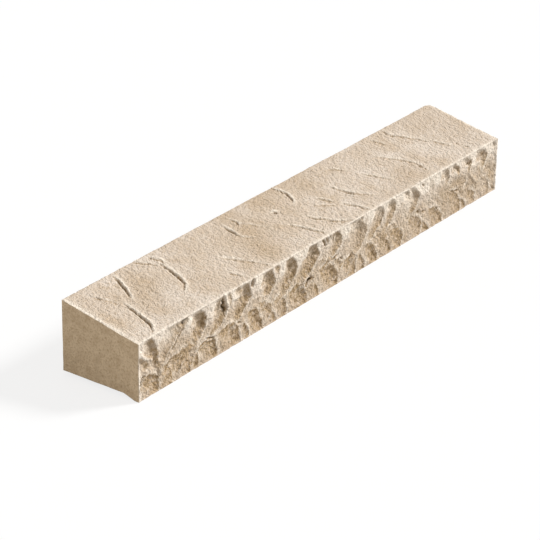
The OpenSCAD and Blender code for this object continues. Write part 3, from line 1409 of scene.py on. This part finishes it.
@dataclass(frozen=True)
class Lamp:
    """A lamp that lights the scene from one direction.

    Attributes:
        name: name of the lamp.
        direction: where its light comes from.
        strength: its strength in watts for each square metre.
        angle: how wide it looks, in degrees.
    """

    name: str
    direction: tuple[float, float, float]
    strength: float
    angle: float

    def hang(self) -> None:
        """Hangs the lamp in the scene."""
        light = bpy.data.lights.new(self.name, "SUN")
        light.energy = self.strength
        light.angle = math.radians(self.angle)
        turn = Vector(self.direction).to_track_quat("Z", "Y").to_euler()
        add_object(self.name, light).rotation_euler = turn


@dataclass(frozen=True)
class Studio:
    """A pale floor, a soft sun and a weak fill from behind, an even sky, and the camera."""

    # The floor in metres, how grey it is to the light, and how far it shows plain white.
    floor_size: float = 6.0
    floor_grey: float = 0.55
    floor_white: float = 0.8
    lamps: tuple[Lamp, ...] = (
        Lamp("sun", (0.68, -0.455, 0.575), 3.3, 14.0),
        Lamp("fill", (-0.85, 0.5, 0.12), 0.4, 20.0),
    )
    sky: float = 0.42
    sky_colour: str = "#FFFAF3"
    # The camera: angles in degrees, distances in metres, its aim and lens in millimetres.
    azimuth: float = -54.125
    elevation: float = 25.587
    roll: float = 1.005
    distance: float = 2.08709
    aim: tuple[float, float, float] = (0.0, -37.5, 3.4)
    offset: tuple[float, float] = (0.0521, -0.0107)
    lens: float = 168.9

    WHITE = linear("#FFFFFF")

    def build(self) -> None:
        """Builds the floor, the sky, the lamps and the camera."""
        self._floor()
        self._sky()
        for lamp in self.lamps:
            lamp.hang()
        self._camera()

    @staticmethod
    def _seen(tree: Tree) -> Source:
        """Adds what tells the rays that show a thing from those that light one.

        Args:
            tree: the node tree that it goes in.

        Returns:
            What gives 1 for rays that show a thing, and 0 for the others.
        """
        path = add_node(tree, "LightPath")
        total = path.outputs["Is Camera Ray"]
        for name in ("Is Glossy Ray", "Is Transmission Ray"):
            total = add_node(tree, "Math", {0: total, 1: path.outputs[name]}, operation="MAXIMUM")
        return total

    def _floor(self) -> None:
        """Builds the floor, which shows near white and still takes the sill's shadow."""
        half = self.floor_size / 2
        corners = [(-half, -half, 0), (half, -half, 0), (half, half, 0), (-half, half, 0)]
        mesh = bpy.data.meshes.new("floor")
        mesh.from_pydata(corners, [], [(0, 1, 2, 3)])
        material = bpy.data.materials.new("studio_paper")
        material.use_nodes = True
        tree = material.node_tree
        tree.nodes.clear()
        seen = self._seen(tree)
        tone = add_node(tree, "MapRange", {"Value": seen, "To Min": self.floor_grey, "To Max": 1.0})
        paper = add_node(tree, "BsdfDiffuse", {"Color": tone})
        white = add_node(tree, "Emission", {"Color": self.WHITE, "Strength": 1.0})
        share = add_node(tree, "Math", {0: seen, 1: self.floor_white}, operation="MULTIPLY")
        both = add_node(tree, "MixShader", {0: share, 1: paper, 2: white})
        add_node(tree, "OutputMaterial", {"Surface": both})
        mesh.materials.append(material)
        add_object("floor", mesh)

    def _sky(self) -> None:
        """Lights the scene evenly from all round, and shows as white."""
        world = bpy.data.worlds.new("sky")
        world.use_nodes = True
        bpy.context.scene.world = world
        tree = world.node_tree
        tree.nodes.clear()
        seen = self._seen(tree)
        strength = add_node(tree, "MapRange", {"Value": seen, "To Min": self.sky, "To Max": 1.0})
        colours = {"Factor": seen, "A": linear(self.sky_colour), "B": self.WHITE}
        colour = add_node(tree, "Mix", colours, data_type="RGBA")
        light = add_node(tree, "Background", {"Color": colour, "Strength": strength})
        add_node(tree, "OutputWorld", {"Surface": light})

    def _camera(self) -> None:
        """Stands the camera to the left of the chiselled face and above it."""
        side, rise, roll = (math.radians(a) for a in (self.azimuth, self.elevation, self.roll))
        back = Vector((math.sin(side) * math.cos(rise), -math.cos(side) * math.cos(rise), math.sin(rise)))
        level = (-back).cross(Vector((0, 0, 1))).normalized()
        upright = level.cross(-back)
        right = level * math.cos(roll) + upright * math.sin(roll)
        up = upright * math.cos(roll) - level * math.sin(roll)
        across, above = self.offset
        place = Matrix((right, up, back)).transposed().to_4x4()
        place.translation = Vector(self.aim) * MM + back * self.distance - right * across - up * above
        lens = bpy.data.cameras.new("camera")
        lens.lens = self.lens
        camera = add_object("camera", lens)
        camera.matrix_world = place
        bpy.context.scene.camera = camera


def main() -> None:
    """Builds the sill on the frame and sets up the studio round it."""
    logging.basicConfig(level=logging.INFO, format="%(name)s: %(message)s")
    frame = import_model()
    for node in frame["nodes"]:
        LOG.info("frame node %s", node)
    low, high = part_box("sill")

    grain = Grain(seed=23)
    face = ChiselledFace((high.x - low.x) / MM, Sill.back_top - Sill.fall, grain)
    sill = Sill(low, high, face, CleftTop(grain), CastSurface(grain), grain)
    piece = sill.build(CastStone().build())
    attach(piece, "root")
    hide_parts("sill")
    LOG.info("%s: %d faces", piece.name, len(piece.data.polygons))

    Studio().build()
    bpy.context.scene.view_settings.view_transform = "Standard"


if __name__ == "__main__":
    main()
